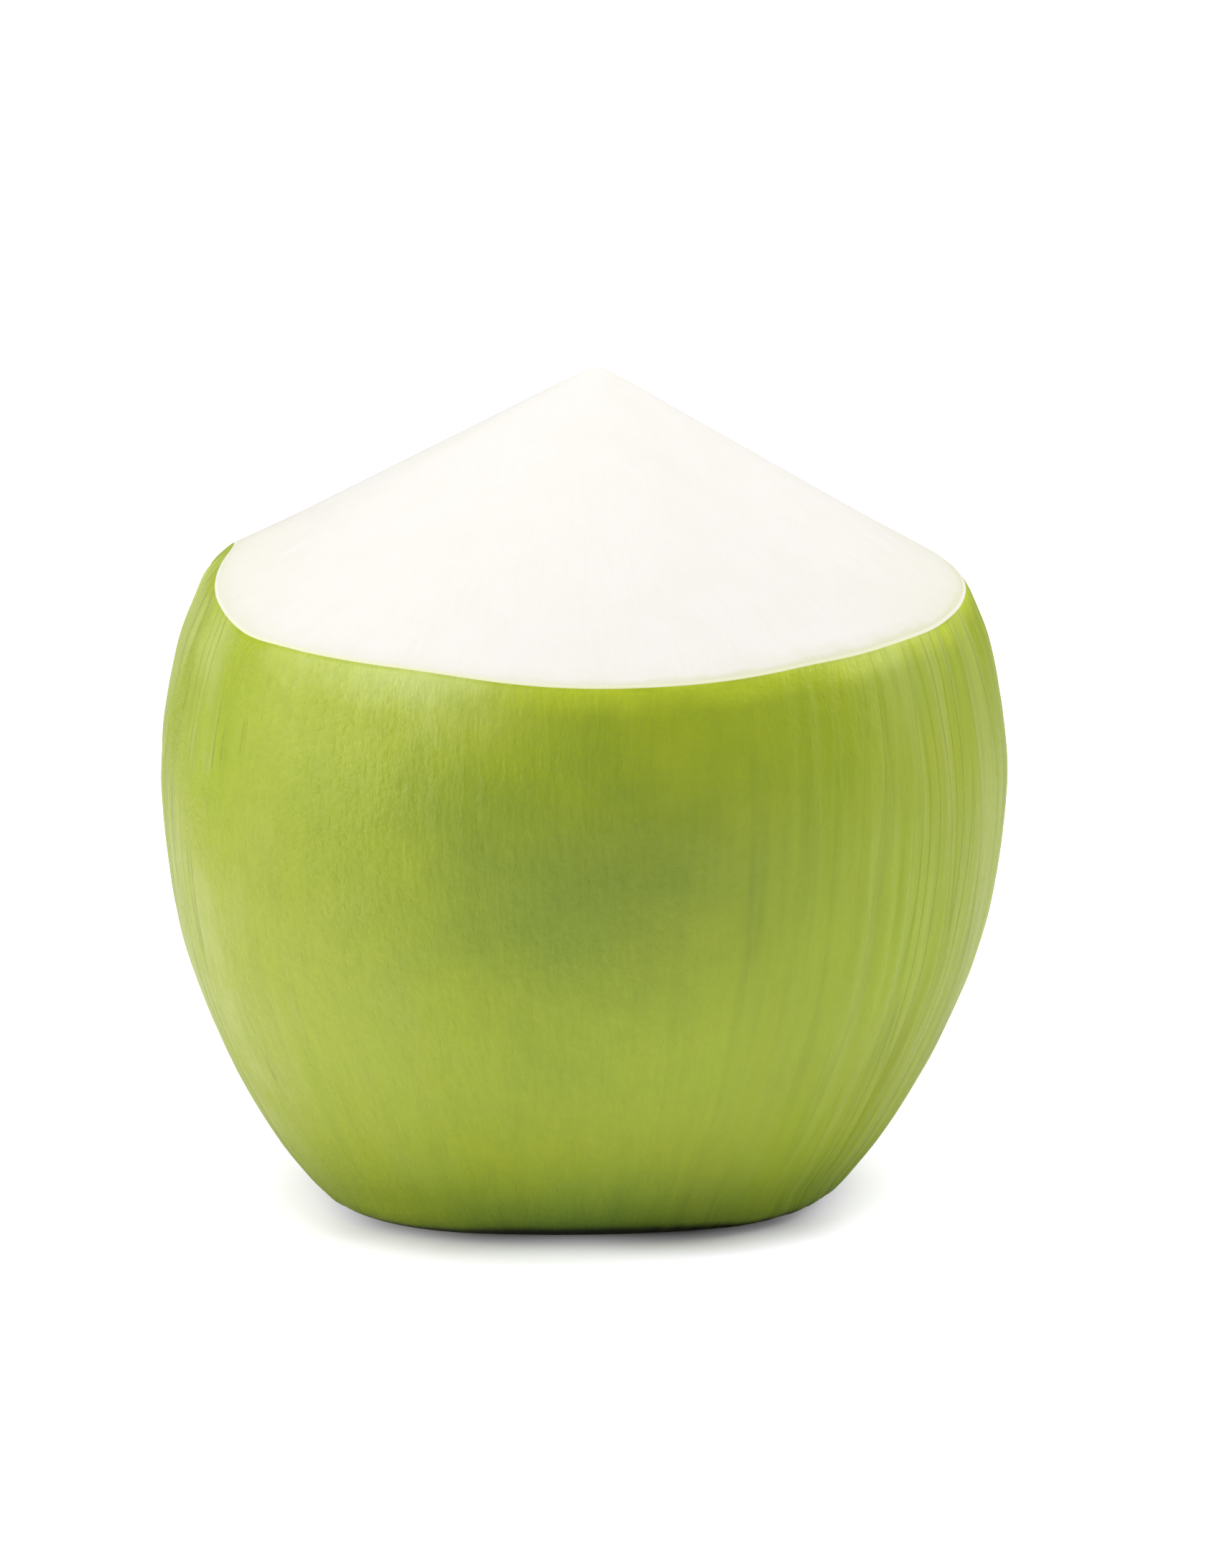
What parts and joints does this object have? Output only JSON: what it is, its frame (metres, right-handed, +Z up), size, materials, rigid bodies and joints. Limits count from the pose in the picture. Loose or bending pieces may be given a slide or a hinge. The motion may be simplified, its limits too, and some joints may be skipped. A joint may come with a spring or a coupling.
{
  "type": "trimmed coconut",
  "caption": "Green drinking coconut in its husk, top pared to a pale blunt-pointed cone, standing upright on the flat spot of its stem end.",
  "frame": {"origin": "on the flat spot of the stem end, under the middle of the fruit's outline", "axes": "+Z up towards the cone's point, -Y towards the front that the cone leans to, +X to the right seen from the front"},
  "size_m": [0.1498, 0.1526, 0.1484],
  "materials": {
    "husk": "satin green skin with fine upright streaks; matt cream-white where the husk is cut"
  },
  "bodies": {
    "root": {"coconut": "husk"}
  },
  "joints": []
}
